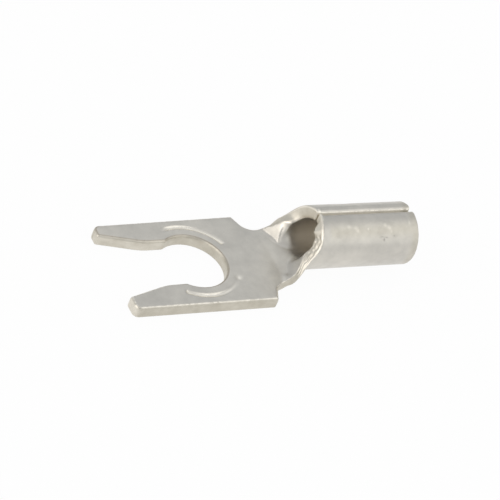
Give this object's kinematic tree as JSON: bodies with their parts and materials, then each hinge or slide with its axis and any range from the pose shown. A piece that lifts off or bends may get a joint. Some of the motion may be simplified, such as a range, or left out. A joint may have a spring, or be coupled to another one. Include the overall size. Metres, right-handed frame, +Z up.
{
  "type": "fork terminal",
  "caption": "Uninsulated fork terminal folded from one strip: a flat snap-in fork tongue, a notched curled neck and a rolled crimp barrel with an open butt seam.",
  "frame": {"origin": "centre of the round stud seat, on the tongue's underside", "axes": "+X from the seat towards the wire barrel, +Z up through the seat, out of the tongue's top"},
  "size_m": [0.0198, 0.0072, 0.0042],
  "materials": {
    "tin_plate": "satin tin plate on copper"
  },
  "bodies": {
    "root": {"terminal_body": "tin_plate"}
  },
  "joints": []
}
